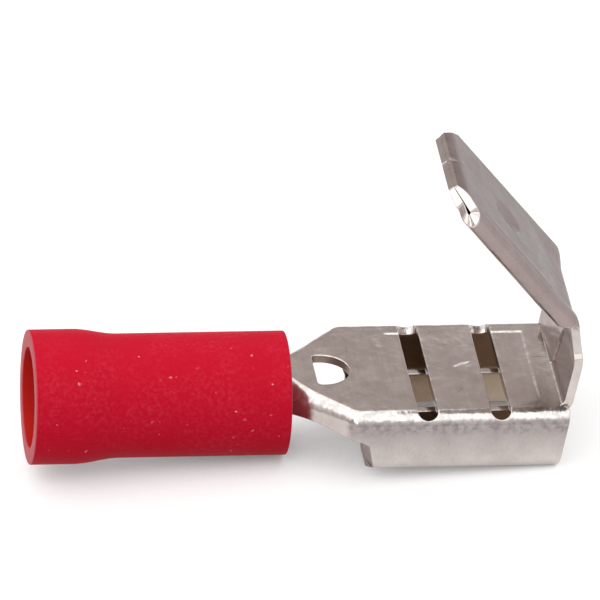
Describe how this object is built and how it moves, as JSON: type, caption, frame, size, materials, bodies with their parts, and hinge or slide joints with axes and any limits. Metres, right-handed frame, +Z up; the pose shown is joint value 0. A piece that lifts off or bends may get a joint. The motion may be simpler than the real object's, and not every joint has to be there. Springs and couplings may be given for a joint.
{
  "type": "spade terminal splitter",
  "caption": "Insulated crimp terminal that splits a connection: its receptacle pushes onto a tab, and the same folded metal carries a further tab bent back above it.",
  "frame": {"origin": "centre of the sleeve's wire entry, on the barrel axis", "axes": "+X along the barrel axis to the receptacle's mouth, +Z up to the branch tab, Y across the receptacle"},
  "size_m": [0.0211, 0.0074, 0.0129],
  "materials": {
    "tin_plated_brass": "tin plated, satin",
    "red_vinyl": "matte"
  },
  "bodies": {
    "root": {"terminal": "tin_plated_brass", "insulating_sleeve": "red_vinyl"}
  },
  "joints": []
}
